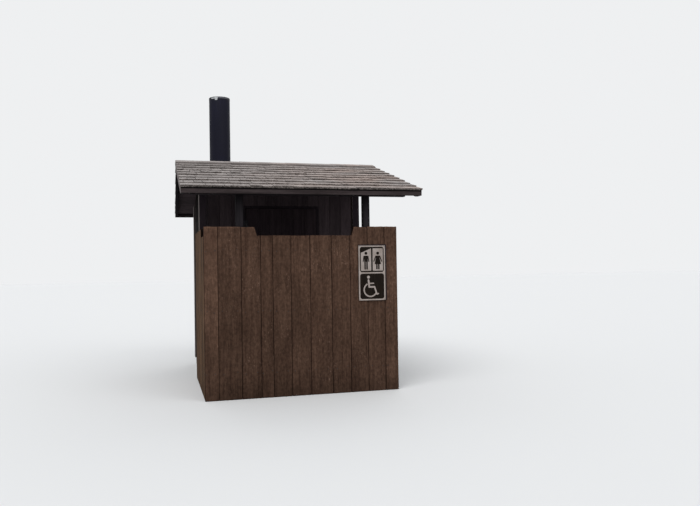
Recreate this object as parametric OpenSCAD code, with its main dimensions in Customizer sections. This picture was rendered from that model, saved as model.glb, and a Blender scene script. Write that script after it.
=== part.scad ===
// Wooden outhouse with a shake roof, a board privacy screen and a tall vent stack.
// Sizes are in millimetres. The origin lies at ground level under the middle of the roof.
// The ridge runs along X, the privacy screen faces -Y, and the way in is at the +X end.
// A depth d below is measured level from the ridge, towards the front or the rear eave.

/* [Building] */
// Width over the privacy screen and the room
body_w = 2134; // [1900:2:2600]
// Depth of the room over its walls
room_d = 1445; // [1250:5:1900]
// How far the room's front face stands in front of the ridge
ridge_inset = 120; // [110:5:250]
// Clear depth of the passage between the screen and the room
passage_d = 1475; // [1300:5:1800]
// Thickness of the room's walls
wall_t = 90; // [70:5:100]
// Width of the upright wall boards, before they are fitted to a wall's length
wall_board = 150; // [100:5:250]
// Thickness of the concrete floor
slab_t = 100; // [80:5:200]
// Width of the boards that cover the room's corners
trim_w = 89; // [60:1:140]
// Thickness of the boards that cover the room's corners
trim_t = 19; // [15:1:30]
// Width and depth of the groove that shows each joint between boards
joint_w = 5; // [2:1:8]

/* [Screen] */
// Height of the privacy screen's high ends
screen_h = 1829; // [1500:1:2000]
// Thickness of the screen's rough boards
board_t = 45; // [30:1:60]
// How much lower the screen's middle is
screen_drop = 95; // [40:5:300]
// Width of the high end on the left
high_w = 562; // [400:1:700]
// Width of the low middle, along its top
low_w = 1044; // [600:1:1200]
// Width of the sloped cut between high and low tops
cut_w = 28; // [5:1:80]
// Length of the low part of the left return, behind the corner
return_low = 390; // [200:10:700]
// How far the left return laps along the room's left wall
return_lap = 120; // [60:5:300]

/* [Posts and rails] */
// Side of the square posts
post_w = 76; // [60:1:120]
// Distance from the screen's left end to the middle of the left post
post_left = 384; // [200:1:500]
// Distance from the screen's right end to the middle of the right post
post_right = 338; // [200:1:500]
// Depth of the header that the posts carry, at its outer edge
header_d = 25; // [20:1:60]
// How far the header reaches past the screen at each end
header_end = 128; // [20:1:160]
// Height of the rails behind the boards
rail_h = 89; // [60:1:140]
// Thickness of the rails
rail_t = 38; // [25:1:50]
// Heights of the rails' lower edges above the ground
rail_z = [230, 880, 1530];

/* [Roof] */
// Height of the front fascia's lower edge above the ground
eave_h = 2158; // [2100:1:2500]
// Slope of both roof faces, in degrees
pitch = 15.5; // [12:0.5:22]
// How far the shakes reach past the screen
front_overhang = 230; // [200:5:400]
// How far the shakes reach past the rear wall
rear_overhang = 545; // [450:5:700]
// How far the shakes reach past the left and right ends of the body
side_overhang = 238; // [150:2:400]
// How much the rear slope narrows at each end, from the ridge to its eave
rear_taper = 30; // [0:1:60]
// Depth of the rafters and rake boards, square to the slope
rafter_d = 70; // [50:1:110]
// Width of the rafters
rafter_t = 50; // [38:1:60]
// Number of rafters between those on the side walls
inner_rafters = 2; // [1:1:2]
// Thickness of the ridge board
ridge_t = 38; // [25:1:50]
// Thickness of the roof boarding
deck_t = 19; // [15:1:30]
// Height of the outer face of the fascia
fascia_h = 60; // [50:1:140]
// Thickness of the fascia and rake boards
fascia_t = 38; // [25:1:50]

/* [Shakes] */
// Number of shake courses on each slope
courses = 10; // [6:1:14]
// Thickness of the shakes at their lower edge
shake_butt = 24; // [18:1:32]
// Thickness of the shakes at the foot of the next course
shake_head = 12; // [6:1:16]
// How far the shakes reach past the fascia
eave_drip = 25; // [10:1:50]
// How far the shakes reach past the rake boards
rake_drip = 8; // [5:1:50]
// Width of each side of the ridge cap, measured level
cap_w = 130; // [80:5:150]
// Thickness of the ridge cap
cap_t = 20; // [10:1:30]

/* [Door] */
// Width of the door leaf
door_w = 915; // [700:5:1000]
// Height of the door leaf
door_h = 2032; // [1900:2:2080]
// Thickness of the door leaf
door_t = 44; // [35:1:60]
// Gap around the door leaf
door_gap = 4; // [3:0.5:8]
// Thickness of the door frame's boards
jamb_t = 32; // [20:1:45]
// Number of planks in the door leaf
door_planks = 6; // [4:1:9]
// Height of the lever handle above the floor
handle_h = 980; // [900:10:1100]

/* [Vent stack] */
// Outer diameter of the vent stack
stack_d = 305; // [200:5:320]
// Wall thickness of the vent stack
stack_wall = 6; // [4:0.5:12]
// Height of the vent stack's top above the ground
stack_h = 3920; // [3000:10:4500]
// Distance from the screen's left end to the stack's axis
stack_in = 455; // [420:5:520]
// Clearance between the stack and the rear wall
stack_gap = 22; // [10:1:60]
// Clearance between the stack and the hole in the roof
hole_gap = 12; // [8:1:20]
// Height of the straps' lower edges above the ground
strap_z = [800, 1700];

/* [Sign] */
// Width of the sign plate
sign_w = 307; // [200:1:400]
// Height of the sign plate
sign_h = 607; // [400:1:800]
// Thickness of the sign plate
sign_t = 4; // [3:0.5:10]
// Height of the sign plate's top above the ground
sign_top = 1614; // [1400:1:1700]
// Distance from the screen's right end to the middle of the sign plate
sign_in = 300; // [200:1:400]
// Width of the plate's border around its two panels
panel_in = 14; // [8:1:40]
// Thickness of the board behind the plate
backing_t = 10; // [6:1:25]
// How far the backing board stands out above the plate
backing_top = 12; // [5:1:40]
// How far the backing board stands out to the right of the plate
backing_right = 16; // [5:1:40]

/* [Hidden] */

$fn = 64;
e = 1;

// Plan, left to right
body_l = -body_w / 2;
body_r = body_w / 2;
roof_w = body_w + 2 * side_overhang;
rake_x = roof_w / 2 - rake_drip;
wall_l = body_l + board_t + trim_t;
wall_r = body_r - trim_t;
room_l = wall_l + wall_t;
room_r = wall_r - wall_t;

// Plan, front to back
room_front = -ridge_inset;
room_rear = room_d - ridge_inset;
screen_back = room_front - passage_d;
screen_face = screen_back - board_t;
front_run = front_overhang - screen_face;
rear_run = room_rear + rear_overhang;

// Depths of the fascia's faces on a slope that reaches the depth run
function fascia_out(run) = run - eave_drip;
function fascia_in(run) = fascia_out(run) - fascia_t;

// How far the rear slope's ends have drawn in at depth d
function drawn_in(d) = rear_taper * d / rear_run;

// Heights of the roof's layers at depth d
function plumb(t) = t / cos(pitch);
function deck_top(d) = eave_h + fascia_h + (fascia_out(front_run) - d) * tan(pitch);
function rafter_top(d) = deck_top(d) - plumb(deck_t);
function rafter_low(d) = rafter_top(d) - plumb(rafter_d);
function fascia_low(run) = deck_top(fascia_out(run)) - fascia_h;

// Top of the highest course of shakes, at depth d on a slope that reaches the depth run
function ridge_shake_top(d, run) =
    deck_top(d) + plumb(shake_head + (shake_butt - shake_head) * d * courses / run);

// Doorway
door_x = (wall_l + wall_r) / 2;
door_z = slab_t + 8;
open_w = door_w + 2 * door_gap + 2 * jamb_t;
open_l = door_x - open_w / 2;
open_r = door_x + open_w / 2;
open_top = door_z + door_h + door_gap + jamb_t;

// Vent stack
stack_r = stack_d / 2;
stack_x = body_l + stack_in;
stack_y = room_rear + stack_gap + stack_r;

// Board widths on the screen, from the left end; the last board fills what is left
screen_boards = [145, 245, 205, 130, 200, 210, 240, 210, 200, 200];
// Board widths on the left return, from the screen; the last board fills what is left
return_boards = [215, 240, 185, 225, 245, 200];

rough_brown = "#55433a";
roof_grey = "#807977";
trim_brown = "#3b3434";
shade_brown = "#4a3c35";
stack_black = "#23242b";

function sum_to(list, last) = last < 0 ? 0 : list[last] + sum_to(list, last - 1);

// A profile drawn in the Y-Z plane, extruded along X from x0
module along_x(x0, len) {
    translate([x0, 0, 0])
        rotate([90, 0, 90])
            linear_extrude(len)
                children();
}

// A profile drawn in the X-Z plane, extruded towards -Y from y0
module towards_front(y0, len) {
    translate([0, y0, 0])
        rotate([90, 0, 0])
            linear_extrude(len)
                children();
}

module front_side() {
    mirror([0, 1, 0])
        children();
}

// Profile of an upright between depths y0 and y1, cut off under the rafters
module under_roof(y0, y1, z0) {
    top = [for (y = [y1, y0]) [y, rafter_low(abs(y))]];
    peak = y0 < 0 && y1 > 0 ? [[y1, top[0][1]], [0, rafter_low(0)], [y0, top[1][1]]] : top;
    polygon(concat([[y0, z0], [y1, z0]], peak));
}

// Grooves that show the joints of upright boards on a face at Y 0 that looks to -Y
module wall_joints(len) {
    count = round(len / wall_board);
    if (count > 1)
        for (i = [1 : count - 1])
            translate([i * len / count - joint_w / 2, -e, -e])
                cube([joint_w, joint_w + e, rafter_low(0) + 2 * e]);
}

module floor_slab() {
    color("#8f8b84")
        translate([wall_l, room_front, 0])
            cube([wall_r - wall_l, room_d, slab_t]);
}

module front_wall_part(x0, x1, z0) {
    color(shade_brown)
        difference() {
            along_x(x0, x1 - x0)
                under_roof(room_front, room_front + wall_t, z0);
            translate([x0, room_front, 0])
                wall_joints(x1 - x0);
        }
}

module front_wall_left() {
    front_wall_part(room_l, open_l, slab_t);
}

module front_wall_right() {
    front_wall_part(open_r, room_r, slab_t);
}

module front_wall_over_door() {
    front_wall_part(open_l, open_r, open_top);
}

module side_wall(x0) {
    color(rough_brown)
        along_x(x0, wall_t)
            under_roof(room_front, room_rear, slab_t);
}

module left_wall() {
    difference() {
        side_wall(wall_l);
        translate([wall_l, room_rear, 0])
            rotate([0, 0, -90])
                wall_joints(room_d);
    }
}

module right_wall() {
    difference() {
        side_wall(room_r);
        translate([wall_r, room_front, 0])
            rotate([0, 0, 90])
                wall_joints(room_d);
    }
}

module rear_wall() {
    color(rough_brown)
        difference() {
            along_x(room_l, room_r - room_l)
                under_roof(room_rear - wall_t, room_rear, slab_t);
            translate([room_r, room_rear, 0])
                rotate([0, 0, 180])
                    wall_joints(room_r - room_l);
        }
}

// One L-shaped pair of corner boards; side is -1 on the left and 1 on the right
module corner_pair(side, y_out, dir) {
    x_out = side < 0 ? wall_l - trim_t : wall_r;
    x_face = side < 0 ? x_out : x_out + trim_t - trim_w;
    y_side = dir < 0 ? y_out : y_out - trim_w;
    y_face = dir < 0 ? y_out - trim_t : y_out;
    along_x(x_out, trim_t)
        under_roof(y_side, y_side + trim_w, slab_t);
    along_x(x_face, trim_w)
        under_roof(y_face, y_face + trim_t, slab_t);
}

module corner_boards() {
    color(trim_brown)
        for (side = [-1, 1]) {
            corner_pair(side, room_front, -1);
            corner_pair(side, room_rear, 1);
        }
}

module door_frame() {
    color(trim_brown)
        difference() {
            translate([open_l, room_front, slab_t])
                cube([open_w, wall_t, open_top - slab_t]);
            translate([open_l + jamb_t, room_front - e, slab_t - e])
                cube([open_w - 2 * jamb_t, wall_t + 2 * e, open_top - slab_t - jamb_t + e]);
        }
}

door_l = door_x - door_w / 2;

module door() {
    plank_w = door_w / door_planks;
    color(shade_brown)
        difference() {
            translate([door_l, room_front, door_z])
                cube([door_w, door_t, door_h]);
            for (i = [1 : door_planks - 1])
                translate([door_l + i * plank_w - joint_w / 2, room_front - e, door_z - e])
                    cube([joint_w, joint_w + e, door_h + 2 * e]);
        }
}

hinge_h = 100;
hinge_leaf = 60;
hinge_r = 7;
hinge_z = [180, 1016, 1780];

// Butt hinges: a leaf on the door, a leaf on the frame and the knuckle in front of the gap
module door_hinges() {
    color("#2a2a2c")
        for (z = hinge_z)
            translate([door_l - door_gap / 2, room_front, door_z + z]) {
                translate([-hinge_leaf / 2, -3, 0])
                    cube([hinge_leaf, 3, hinge_h]);
                translate([0, -3 - hinge_r / 2, 0]) {
                    cylinder(r = hinge_r, h = hinge_h);
                    for (tip = [0, hinge_h])
                        translate([0, 0, tip])
                            sphere(r = hinge_r - 1.5);
                }
            }
}

rose_r = 26;
lever_r = 9;
lever_l = 115;
lever_out = 54;

// Lever handle: a round rose, its neck and a lever with round ends
module door_handle() {
    x = door_l + door_w - 70;
    z = slab_t + handle_h;
    color("#77777a")
        translate([x, room_front, z])
            rotate([90, 0, 0]) {
                cylinder(r = rose_r, h = 8);
                cylinder(r = lever_r + 1, h = lever_out);
                translate([0, 0, lever_out - lever_r])
                    rotate([0, -90, 0]) {
                        cylinder(r = lever_r, h = lever_l);
                        for (end = [0, lever_l])
                            translate([0, 0, end])
                                sphere(r = lever_r);
                    }
            }
}

// Grooves at the joints between boards, on both faces of a screen that is board_t thick
module joints(widths) {
    for (i = [0 : len(widths) - 1])
        translate([sum_to(widths, i) - joint_w / 2, 0, -e])
            for (y = [-e, board_t - joint_w])
                translate([0, y, 0])
                    cube([joint_w, joint_w + e, screen_h + 2 * e]);
}

low_h = screen_h - screen_drop;
low_l = body_l + high_w;
low_r = low_l + low_w;

module screen_front() {
    color(rough_brown)
        difference() {
            towards_front(screen_back, board_t)
                polygon([
                    [body_l, 0],
                    [body_r, 0],
                    [body_r, screen_h],
                    [low_r + cut_w, screen_h],
                    [low_r, low_h],
                    [low_l, low_h],
                    [low_l - cut_w, screen_h],
                    [body_l, screen_h]
                ]);
            translate([body_l, screen_face, 0])
                joints(screen_boards);
        }
}

return_end = room_front + return_lap;

module screen_return() {
    low_end = screen_back + return_low;
    color(rough_brown)
        difference() {
            along_x(body_l, board_t)
                polygon([
                    [screen_back, 0],
                    [return_end, 0],
                    [return_end, screen_h],
                    [low_end + cut_w, screen_h],
                    [low_end, low_h],
                    [screen_back, low_h]
                ]);
            translate([body_l + board_t, screen_back, 0])
                rotate([0, 0, 90])
                    joints(return_boards);
        }
}

post_y = screen_back;
left_post_x = body_l + post_left;
right_post_x = body_r - post_right;
corner_x = body_l + board_t;

module rail(x0, x1) {
    for (z = rail_z)
        translate([x0, screen_back, z])
            cube([x1 - x0, rail_t, rail_h]);
}

module screen_rails() {
    color(shade_brown) {
        rail(corner_x + post_w, left_post_x - post_w / 2);
        rail(left_post_x + post_w / 2, right_post_x - post_w / 2);
        rail(right_post_x + post_w / 2, body_r);
    }
}

module return_rails() {
    y0 = screen_back + post_w;
    color(shade_brown)
        for (z = rail_z)
            translate([corner_x, y0, z])
                cube([rail_t, room_front - trim_t - y0, rail_h]);
}

module corner_post() {
    color(shade_brown)
        translate([corner_x, post_y, 0])
            cube([post_w, post_w, low_h]);
}

header_low = rafter_low(-post_y) - header_d;

module tall_post(x) {
    color(trim_brown)
        translate([x - post_w / 2, post_y, 0])
            cube([post_w, post_w, header_low]);
}

module left_post() {
    tall_post(left_post_x);
}

module right_post() {
    tall_post(right_post_x);
}

module front_header() {
    color(trim_brown)
        along_x(body_l - header_end, body_w + 2 * header_end)
            under_roof(post_y, post_y + post_w, header_low);
}

// Upright block over the rear slope's plan, its ends an inset away from the shakes' ends
module rear_plan(inset) {
    half = roof_w / 2 - inset;
    far = rear_run + e;
    linear_extrude(stack_h)
        polygon([
            [-half, -e],
            [half, -e],
            [half, 0],
            [half - drawn_in(far), far],
            [drawn_in(far) - half, far],
            [-half, 0]
        ]);
}

// Profile of a rafter from depth d0 to the fascia, its tail cut level with the fascia's foot
module rafter_profile(d0, run) {
    d1 = fascia_in(run);
    level_d = fascia_out(run) + (fascia_h - plumb(deck_t + rafter_d)) / tan(pitch);
    cut_d = min(level_d, d1);
    foot_z = fascia_low(run);
    foot = cut_d < d1 ? [[cut_d, foot_z], [d1, foot_z]] : [[d1, rafter_low(d1)]];
    polygon(concat(
        [[d0, rafter_low(d0)]], foot,
        [[d1, rafter_top(d1)], [d0, rafter_top(d0)]]
    ));
}

first_rafter = wall_l + wall_t / 2;
last_rafter = wall_r - wall_t / 2;
rafter_step = (last_rafter - first_rafter) / (inner_rafters + 1);

module rafters(run) {
    color(shade_brown)
        for (i = [0 : inner_rafters + 1])
            along_x(first_rafter + i * rafter_step - rafter_t / 2, rafter_t)
                rafter_profile(ridge_t / 2, run);
}

module rafters_front() {
    front_side()
        rafters(front_run);
}

module rafters_rear() {
    rafters(rear_run);
}

module ridge_board() {
    top = rafter_top(ridge_t / 2);
    low = rafter_low(0);
    inside = rake_x - fascia_t - drawn_in(ridge_t / 2);
    color(shade_brown)
        translate([-inside, -ridge_t / 2, low])
            cube([2 * inside, ridge_t, top - low]);
}

module deck_half(run) {
    edge = fascia_in(run);
    along_x(-rake_x, 2 * rake_x)
        polygon([
            [0, rafter_top(0)],
            [edge, rafter_top(edge)],
            [edge, deck_top(edge)],
            [0, deck_top(0)]
        ]);
}

module stack_hole() {
    translate([stack_x, stack_y, 0])
        cylinder(r = stack_r + hole_gap, h = stack_h);
}

module roof_deck_front() {
    color(shade_brown)
        front_side()
            deck_half(front_run);
}

module roof_deck_rear() {
    color(shade_brown)
        difference() {
            intersection() {
                deck_half(rear_run);
                rear_plan(rake_drip);
            }
            stack_hole();
        }
}

// Stepped courses: each is thickest at its lower edge, where it ends in an upright butt
module shake_courses(run) {
    exposure = run / courses;
    steps = [for (i = [courses : -1 : 1])
        each [
            [i * exposure, deck_top(i * exposure) + plumb(shake_butt)],
            [(i - 1) * exposure, deck_top((i - 1) * exposure) + plumb(shake_head)]
        ]];
    along_x(-roof_w / 2, roof_w)
        polygon(concat([[0, deck_top(0)], [run, deck_top(run)]], steps));
}

module shakes_front() {
    color(roof_grey)
        front_side()
            shake_courses(front_run);
}

module shakes_rear() {
    color(roof_grey)
        difference() {
            intersection() {
                shake_courses(rear_run);
                rear_plan(0);
            }
            stack_hole();
        }
}

module ridge_cap() {
    rise = plumb(cap_t);
    color(roof_grey)
        along_x(-roof_w / 2, roof_w)
            polygon([
                [0, ridge_shake_top(0, rear_run)],
                [cap_w, ridge_shake_top(cap_w, rear_run)],
                [cap_w, ridge_shake_top(cap_w, rear_run) + rise],
                [0, ridge_shake_top(0, rear_run) + rise],
                [-cap_w, ridge_shake_top(cap_w, front_run) + rise],
                [-cap_w, ridge_shake_top(cap_w, front_run)]
            ]);
}

module fascia(run) {
    inner = fascia_in(run);
    outer = fascia_out(run);
    color(trim_brown)
        along_x(-rake_x, 2 * rake_x)
            polygon([
                [inner, fascia_low(run)],
                [outer, fascia_low(run)],
                [outer, deck_top(outer)],
                [inner, deck_top(inner)]
            ]);
}

module fascia_front() {
    front_side()
        fascia(front_run);
}

module fascia_rear() {
    intersection() {
        fascia(rear_run);
        rear_plan(rake_drip);
    }
}

module front_rake(x0) {
    color(trim_brown)
        front_side()
            along_x(x0, fascia_t)
                rafter_profile(0, front_run);
}

module rake_front_left() {
    front_rake(-rake_x);
}

module rake_front_right() {
    front_rake(rake_x - fascia_t);
}

module rear_rake(x0) {
    color(trim_brown)
        difference() {
            intersection() {
                along_x(x0, fascia_t + rear_taper)
                    rafter_profile(0, rear_run);
                rear_plan(rake_drip);
            }
            rear_plan(rake_drip + fascia_t);
        }
}

module rake_rear_left() {
    rear_rake(-rake_x);
}

module rake_rear_right() {
    rear_rake(rake_x - fascia_t - rear_taper);
}

// The black pipe stands on the ground behind the rear wall and passes through the roof
module vent_stack() {
    color(stack_black)
        translate([stack_x, stack_y, 0])
            difference() {
                cylinder(r = stack_r, h = stack_h);
                translate([0, 0, -e])
                    cylinder(r = stack_r - stack_wall, h = stack_h + 2 * e);
            }
}

sleeve_gap = 2;
sleeve_t = 3;
sleeve_h = 110;
flash_w = 480;
flash_l = 400;
collar_r = 40;

// Roof flashing: a sheet on the shakes, an upright sleeve and a storm collar
module stack_flashing() {
    bore_r = stack_r + sleeve_gap;
    foot_z = deck_top(stack_y + bore_r) + plumb(shake_butt);
    sleeve_top = deck_top(stack_y) + plumb(shake_butt) + sleeve_h;
    color("#3a3c40")
        difference() {
            union() {
                along_x(stack_x - flash_w / 2, flash_w)
                    polygon([
                        for (d = [stack_y - flash_l / 2, stack_y + flash_l / 2])
                            [d, deck_top(d) + plumb(shake_butt)],
                        for (d = [stack_y + flash_l / 2, stack_y - flash_l / 2])
                            [d, deck_top(d) + plumb(shake_butt + sleeve_t)]
                    ]);
                translate([stack_x, stack_y, foot_z])
                    cylinder(r = bore_r + sleeve_t, h = sleeve_top - foot_z);
                translate([stack_x, stack_y, sleeve_top - collar_r / 2])
                    cylinder(r1 = stack_r + collar_r, r2 = bore_r + sleeve_t, h = collar_r);
            }
            translate([stack_x, stack_y, 0])
                cylinder(r = bore_r, h = stack_h);
        }
}

mesh_t = 4;
mesh_step = 38;
band_h = 30;

// Bird screen: a clamp band around the pipe's top and a grille of crossed bars over it
module stack_screen() {
    band_r = stack_r + mesh_t;
    reach = floor(stack_r / mesh_step) * mesh_step;
    color("#2c2d30")
        translate([stack_x, stack_y, stack_h]) {
            difference() {
                translate([0, 0, -band_h])
                    cylinder(r = band_r, h = band_h + mesh_t);
                translate([0, 0, -band_h - e])
                    cylinder(r = stack_r + 0.3, h = band_h + e);
                translate([0, 0, -e])
                    cylinder(r = stack_r - stack_wall, h = mesh_t + 2 * e);
            }
            for (a = [0, 90])
                rotate([0, 0, a])
                    for (x = [-reach : mesh_step : reach])
                        intersection() {
                            cylinder(r = stack_r - e, h = mesh_t);
                            translate([x - mesh_t / 2, -stack_r, 0])
                                cube([mesh_t, stack_d, mesh_t]);
                        }
        }
}

strap_h = 40;
strap_t = 5;
foot_w = 90;

// Straps that hold the pipe to the rear wall
module stack_straps() {
    color("#2c2d30")
        for (z = strap_z)
            translate([stack_x, stack_y, z])
                difference() {
                    union() {
                        cylinder(r = stack_r + strap_t, h = strap_h);
                        translate([-foot_w / 2, -stack_r - stack_gap, 0])
                            cube([foot_w, stack_gap + stack_r / 2, strap_h]);
                    }
                    translate([0, 0, -e])
                        cylinder(r = stack_r + 0.3, h = strap_h + 2 * e);
                }
}

panel_r = 26;
panel_deep = 1.5;

// A rectangle with round corners, its lower left corner at the origin
module round_rect(w, h, r) {
    translate([r, 0])
        square([w - 2 * r, h]);
    translate([0, r])
        square([w, h - 2 * r]);
    for (x = [r, w - r])
        for (y = [r, h - r])
            translate([x, y])
                circle(r);
}

sign_l = body_r - sign_in - sign_w / 2;
sign_low = sign_top - sign_h;

// Dark board that carries the sign plate
module sign_backing() {
    color(shade_brown)
        translate([sign_l, screen_face - backing_t, sign_low])
            cube([sign_w + backing_right, backing_t, sign_h + backing_top]);
}

// Sign plate with two stacked recessed panels
module sign_board() {
    panel_w = sign_w - 2 * panel_in;
    panel_h = (sign_h - 3 * panel_in) / 2;
    back_y = screen_face - backing_t;
    color("#b9aa94")
        difference() {
            translate([sign_l, back_y - sign_t, sign_low])
                cube([sign_w, sign_t, sign_h]);
            for (i = [0, 1])
                towards_front(back_y - sign_t + panel_deep, panel_deep + e)
                    translate([sign_l + panel_in, sign_low + panel_in + i * (panel_h + panel_in)])
                        round_rect(panel_w, panel_h, panel_r);
        }
}

floor_slab();
front_wall_left();
front_wall_right();
front_wall_over_door();
left_wall();
right_wall();
rear_wall();
corner_boards();
door_frame();
door();
door_hinges();
door_handle();
screen_front();
screen_return();
screen_rails();
return_rails();
corner_post();
left_post();
right_post();
front_header();
rafters_front();
rafters_rear();
ridge_board();
roof_deck_front();
roof_deck_rear();
shakes_front();
shakes_rear();
ridge_cap();
fascia_front();
fascia_rear();
rake_front_left();
rake_front_right();
rake_rear_left();
rake_rear_right();
vent_stack();
stack_flashing();
stack_screen();
stack_straps();
sign_backing();
sign_board();
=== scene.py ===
import math
import random
from collections import namedtuple

import bpy
import numpy as np
from mathutils import Matrix, Vector

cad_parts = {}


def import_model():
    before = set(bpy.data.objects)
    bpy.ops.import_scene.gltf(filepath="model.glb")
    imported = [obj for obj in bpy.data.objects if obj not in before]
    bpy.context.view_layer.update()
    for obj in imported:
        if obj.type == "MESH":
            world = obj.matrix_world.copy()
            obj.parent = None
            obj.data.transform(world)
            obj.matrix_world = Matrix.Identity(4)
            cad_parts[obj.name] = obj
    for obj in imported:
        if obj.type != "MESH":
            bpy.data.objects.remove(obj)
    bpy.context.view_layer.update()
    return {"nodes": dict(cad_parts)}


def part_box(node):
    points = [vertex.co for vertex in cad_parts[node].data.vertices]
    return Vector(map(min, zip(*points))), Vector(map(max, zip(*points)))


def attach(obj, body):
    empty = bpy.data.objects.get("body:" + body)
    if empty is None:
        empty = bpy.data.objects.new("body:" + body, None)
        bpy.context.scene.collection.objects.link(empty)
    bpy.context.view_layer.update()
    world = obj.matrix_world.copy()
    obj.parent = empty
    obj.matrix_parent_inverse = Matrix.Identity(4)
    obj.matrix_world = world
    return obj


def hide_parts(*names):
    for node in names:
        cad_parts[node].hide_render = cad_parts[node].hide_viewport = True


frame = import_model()

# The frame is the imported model: metres, ground at z 0, ridge along X, screen towards -Y.
X, Y, Z = Vector((1, 0, 0)), Vector((0, 1, 0)), Vector((0, 0, 1))
BODY = "root"
FRONT, REAR = -1, 1
SIDE_NAME = {FRONT: "front", REAR: "rear"}

# Sizes in metres that the boxes of the CAD nodes don't give. One more board fills up each list.
SCREEN_BOARDS = [0.145, 0.245, 0.205, 0.130, 0.200, 0.210, 0.240, 0.210, 0.200, 0.200]
RETURN_BOARDS = [0.215, 0.240, 0.185, 0.225, 0.245, 0.200]
SCREEN_DROP = 0.095
HIGH_LEFT = 0.562
LOW_WIDTH = 1.044
RETURN_LOW = 0.390
SLANTED_CUT = 0.028
RAIL_HEIGHT = 0.089
WALL_BOARD = 0.150
DECK_BOARD = 0.140
DECK_THICK = 0.019
COURSES = 10
SHAKE_BUTT = 0.024
SHAKE_HEAD = 0.012
SHAKE_WIDTHS = (0.085, 0.235)
SHAKE_GAPS = (0.001, 0.004)
SHAKE_BUTTS = (0.008, 0.019, 0.012)  # thinnest, thickest and most usual
SHAKE_LAP = 1.35
CAP_EXPOSURE = 0.205
CAP_LAP = 1.3
CAP_BUTTS = (0.015, 0.0175)
STACK_WALL = 0.006
STACK_HOLE_GAP = 0.012

# How far a rough face stays inside its CAD solid, the usual width of the strips that a board's
# face has, and the reach of the pattern in which each board has a place of its own
FACE_PLAY = 0.002
FACE_STRIP = 0.026
GRAIN_REACH = 40


def low_corner(node):
    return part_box(node)[0]


def high_corner(node):
    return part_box(node)[1]


# Roof shape, read from the frame

RIDGE_Z = high_corner("roof_deck_front").z
EAVE_Z = low_corner("shakes_front").z
FASCIA_TOP = high_corner("fascia_front")
SLOPE = math.atan((RIDGE_Z - FASCIA_TOP.z) / -FASCIA_TOP.y)
ROOF_HALF = high_corner("shakes_front").x
RUN = {FRONT: -low_corner("shakes_front").y, REAR: high_corner("shakes_rear").y}
DRAWN_IN = (FASCIA_TOP.x - high_corner("fascia_rear").x) / low_corner("fascia_rear").y


# Solids

def new_object(name, data):
    obj = bpy.data.objects.new(name, data)
    bpy.context.scene.collection.objects.link(obj)
    return obj


def placed(origin, along, out):
    """The matrix from a board's own axes to the frame: across it, along it and out of its face."""
    across = along.cross(out)
    rotation = Matrix((across, along, out)).transposed().to_4x4()
    return Matrix.Translation(origin) @ rotation


def skin(rings, size, closed=False):
    """Faces between neighbouring rings of corners; closed adds those from the last to the first."""
    faces = []
    for j in range(rings if closed else rings - 1):
        n = (j + 1) % rings
        for i in range(size):
            k = (i + 1) % size
            faces.append([j * size + i, j * size + k, n * size + k, n * size + i])
    return faces


class Pile:
    """Closed solids gathered into one piece. Each corner keeps a tone and a place in the grain."""

    def __init__(self):
        self.corners, self.faces, self.tones, self.grains = [], [], [], []

    def add(self, corners, faces, tone=0.5, grains=None):
        first = len(self.corners)
        self.corners += corners
        self.faces += [[first + i for i in face] for face in faces]
        self.grains += grains or corners
        self.tones += [tone] * len(corners)

    def loft(self, rings, tone=0.5, closed=False):
        """A solid through rings of corners, which has flat ends or runs round to its start."""
        count, size = len(rings), len(rings[0])
        faces = skin(count, size, closed)
        if not closed:
            faces.append(list(reversed(range(size))))
            faces.append(list(range((count - 1) * size, count * size)))
        self.add(sum(rings, []), faces, tone)

    def piece(self, name, material, slot, *replaces, sharp=35):
        """The pile as an object, smooth apart from edges sharper than an angle in degrees."""
        mesh = bpy.data.meshes.new(name)
        mesh.from_pydata(self.corners, [], self.faces)
        tone = mesh.attributes.new("tone", "FLOAT", "POINT")
        tone.data.foreach_set("value", self.tones)
        grain = mesh.attributes.new("grain", "FLOAT_VECTOR", "POINT")
        grain.data.foreach_set("vector", np.array(self.grains, np.float32).ravel())
        mesh.validate()
        mesh.shade_smooth()
        mesh.set_sharp_from_angle(angle=math.radians(sharp))
        mesh.materials.append(material)
        obj = new_object(name, mesh)
        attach(obj, BODY)
        if replaces:
            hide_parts(*replaces)
        return obj


# How a kind of board is cut: its stations and its chamfer, how far its edges wander inwards, the
# depth of its saw marks, the unevenness of its ends and the height of split ridges on its face

Cut = namedtuple("Cut", "stations chamfer uneven rough torn ridges", defaults=[0.0])
SCREEN_CUT = Cut(stations=18, chamfer=0.004, uneven=0.002, rough=0.0009, torn=0.003)
RETURN_CUT = Cut(stations=18, chamfer=0.005, uneven=0.003, rough=0.0009, torn=0.003)
WALL_CUT = Cut(stations=14, chamfer=0.003, uneven=0.001, rough=0.0004, torn=0.0)
DECK_CUT = Cut(stations=14, chamfer=0.0025, uneven=0.001, rough=0.0003, torn=0.0)
SHAKE_CUT = Cut(stations=5, chamfer=0.0012, uneven=0.0015, rough=0.0004, torn=0.006, ridges=0.0012)
CAP_CUT = Cut(stations=5, chamfer=0.0012, uneven=0.001, rough=0.0004, torn=0.003, ridges=0.0006)

# Levels of the corners round a board's section; the middle two bound the square part of its edge
FACE, UPPER, LOWER, BACK = range(4)


def wander(rng, count, reach):
    """Smooth random distances from 0 to reach, one for each station."""
    raw = [rng.random() for _ in range(count + 2)]
    return [reach * sum(raw[i:i + 3]) / 3 for i in range(count)]


def face_stops(width, chamfer, breaks):
    """Distances across a board at which its face has corners: even ones, and the breaks."""
    count = max(3, round(width / FACE_STRIP))
    even = [chamfer + (width - 2 * chamfer) * i / count for i in range(count + 1)]
    return sorted(even + [b for b in breaks if chamfer < b < width - chamfer])


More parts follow.
